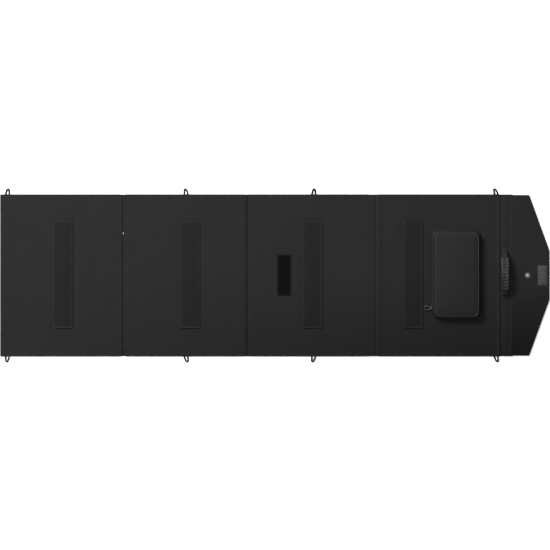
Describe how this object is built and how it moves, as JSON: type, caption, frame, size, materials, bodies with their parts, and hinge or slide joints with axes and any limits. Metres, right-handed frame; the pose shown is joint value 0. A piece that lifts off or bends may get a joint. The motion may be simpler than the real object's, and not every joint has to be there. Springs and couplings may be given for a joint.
{
  "type": "folding solar blanket",
  "caption": "Fabric solar blanket that folds at three webs, with kick-out legs, hanging loops, a zip pouch, a closing flap and a carrying handle.",
  "frame": {"origin": "middle of the outline of the open blanket, on the surface it lies on", "axes": "+X along the row of panels towards the closing flap, +Y across the folds towards the leg hinges, +Z out of the back covers; the cells face -Z"},
  "size_m": [1.4576, 0.462, 0.033],
  "materials": {
    "cover_fabric": "matte coated weave",
    "leg_fabric": "matte coated weave",
    "pouch_fabric": "matte coated weave",
    "webbing": "woven ribbon",
    "clear_film": "clear textured film",
    "solar_cell": "dark blue-black cell",
    "board": "plain board",
    "copper_ribbon": "flat wiring ribbon",
    "soft_loop": "soft loop pile",
    "hook_plastic": "nylon hooks",
    "label": "plain label",
    "badge": "printed badge",
    "grip": "moulded ribbed",
    "zip_nylon": "nylon coil",
    "zip_metal": "dark painted",
    "circuit": "solder resist",
    "case_plastic": "fine textured",
    "socket_steel": "plated"
  },
  "bodies": {
    "panel_1": {"front_cover_1": "cover_fabric", "front_film_1": "clear_film", "cells_1": "solar_cell", "backing_board_1": "board", "back_cover_1": "cover_fabric", "hang_loops_1": "webbing"},
    "leg_1": {"leg_cover_1": "leg_fabric", "leg_board_1": "board"},
    "panel_2": {"front_cover_2": "cover_fabric", "front_film_2": "clear_film", "cells_2": "solar_cell", "backing_board_2": "board", "back_cover_2": "cover_fabric", "hang_loops_2": "webbing"},
    "leg_2": {"leg_cover_2": "leg_fabric", "leg_board_2": "board"},
    "panel_3": {"front_cover_3": "cover_fabric", "front_film_3": "clear_film", "cells_3": "solar_cell", "backing_board_3": "board", "back_cover_3": "cover_fabric", "hang_loops_3": "webbing", "loop_patch": "soft_loop", "web_23": "cover_fabric", "link_ribbon_23": "copper_ribbon"},
    "leg_3": {"leg_cover_3": "leg_fabric", "leg_board_3": "board"},
    "panel_4": {"front_cover_4": "cover_fabric", "front_film_4": "clear_film", "cells_4": "solar_cell", "backing_board_4": "board", "back_cover_4": "cover_fabric", "hang_loops_4": "webbing", "pouch_base": "pouch_fabric", "zip_chain": "zip_nylon", "controller_case": "case_plastic", "controller_cover": "case_plastic", "controller_board": "circuit", "usb_a_socket": "socket_steel", "usb_c_socket": "socket_steel", "dc_socket": "case_plastic"},
    "leg_4": {"leg_cover_4": "leg_fabric", "leg_board_4": "board"},
    "web_12": {"web_12": "cover_fabric", "link_ribbon_12": "copper_ribbon"},
    "web_34": {"web_34": "cover_fabric", "link_ribbon_34": "copper_ribbon"},
    "spine": {"spine": "cover_fabric", "handle_anchors": "webbing"},
    "flap": {"flap_cover": "cover_fabric", "flap_board": "board", "flap_lining": "cover_fabric", "hook_patch": "hook_plastic", "rating_label": "label", "sun_badge": "badge"},
    "handle": {"handle_grip": "grip", "handle_webbing": "webbing"},
    "pouch_lid": {"pouch_lid": "pouch_fabric"},
    "zip_slider": {"zip_slider": "zip_metal"},
    "zip_puller": {"zip_puller": "zip_metal"}
  },
  "joints": [
    {"name": "fold_23", "type": "hinge", "parent": "panel_3", "child": "panel_2", "pos_m": [-0.07575, 0, -0.0006], "axis": [0, -1, 0], "range_deg": [0, 180]},
    {"name": "fold_12_a", "type": "hinge", "parent": "panel_2", "child": "web_12", "pos_m": [-0.39732, 0, 0.002], "axis": [0, 1, 0], "range_deg": [0, 90]},
    {"name": "fold_12_b", "type": "hinge", "parent": "web_12", "child": "panel_1", "pos_m": [-0.40982, 0, 0.002], "axis": [0, 1, 0], "range_deg": [0, 90]},
    {"name": "fold_34_a", "type": "hinge", "parent": "panel_3", "child": "web_34", "pos_m": [0.24882, 0, 0.002], "axis": [0, 1, 0], "range_deg": [0, 90]},
    {"name": "fold_34_b", "type": "hinge", "parent": "web_34", "child": "panel_4", "pos_m": [0.27172, 0, 0.002], "axis": [0, 1, 0], "range_deg": [0, 90]},
    {"name": "spine_fold", "type": "hinge", "parent": "panel_4", "child": "spine", "pos_m": [0.5967, 0, 0.002], "axis": [0, 1, 0], "range_deg": [0, 90]},
    {"name": "flap_fold", "type": "hinge", "parent": "spine", "child": "flap", "pos_m": [0.6248, 0, 0.002], "axis": [0, 1, 0], "range_deg": [0, 90]},
    {"name": "leg_1_swing", "type": "hinge", "parent": "panel_1", "child": "leg_1", "pos_m": [-0.5615, 0.145, 0.0043], "axis": [1, 0, 0], "range_deg": [-65, 0]},
    {"name": "leg_2_swing", "type": "hinge", "parent": "panel_2", "child": "leg_2", "pos_m": [-0.2248, 0.145, 0.0043], "axis": [1, 0, 0], "range_deg": [-65, 0]},
    {"name": "leg_3_swing", "type": "hinge", "parent": "panel_3", "child": "leg_3", "pos_m": [0.0997, 0.145, 0.0043], "axis": [1, 0, 0], "range_deg": [-65, 0]},
    {"name": "leg_4_swing", "type": "hinge", "parent": "panel_4", "child": "leg_4", "pos_m": [0.3662, 0.145, 0.0043], "axis": [1, 0, 0], "range_deg": [-65, 0]},
    {"name": "handle_swing", "type": "hinge", "parent": "spine", "child": "handle", "pos_m": [0.6097, 0.004, 0.0095], "axis": [0, 1, 0], "range_deg": [-60, 60]},
    {"name": "pouch_lid_hinge", "type": "hinge", "parent": "panel_4", "child": "pouch_lid", "pos_m": [0.5447, 0.002, 0.0113], "axis": [0, -1, 0], "range_deg": [-105, 0]},
    {"name": "zip_travel", "type": "slide", "parent": "panel_4", "child": "zip_slider", "axis": [0, 1, 0], "range_m": [0, 0.176]},
    {"name": "zip_puller_hinge", "type": "hinge", "parent": "zip_slider", "child": "zip_puller", "pos_m": [0.4125, -0.086, 0.0102], "axis": [0, -1, 0], "range_deg": [-90, 0]}
  ]
}
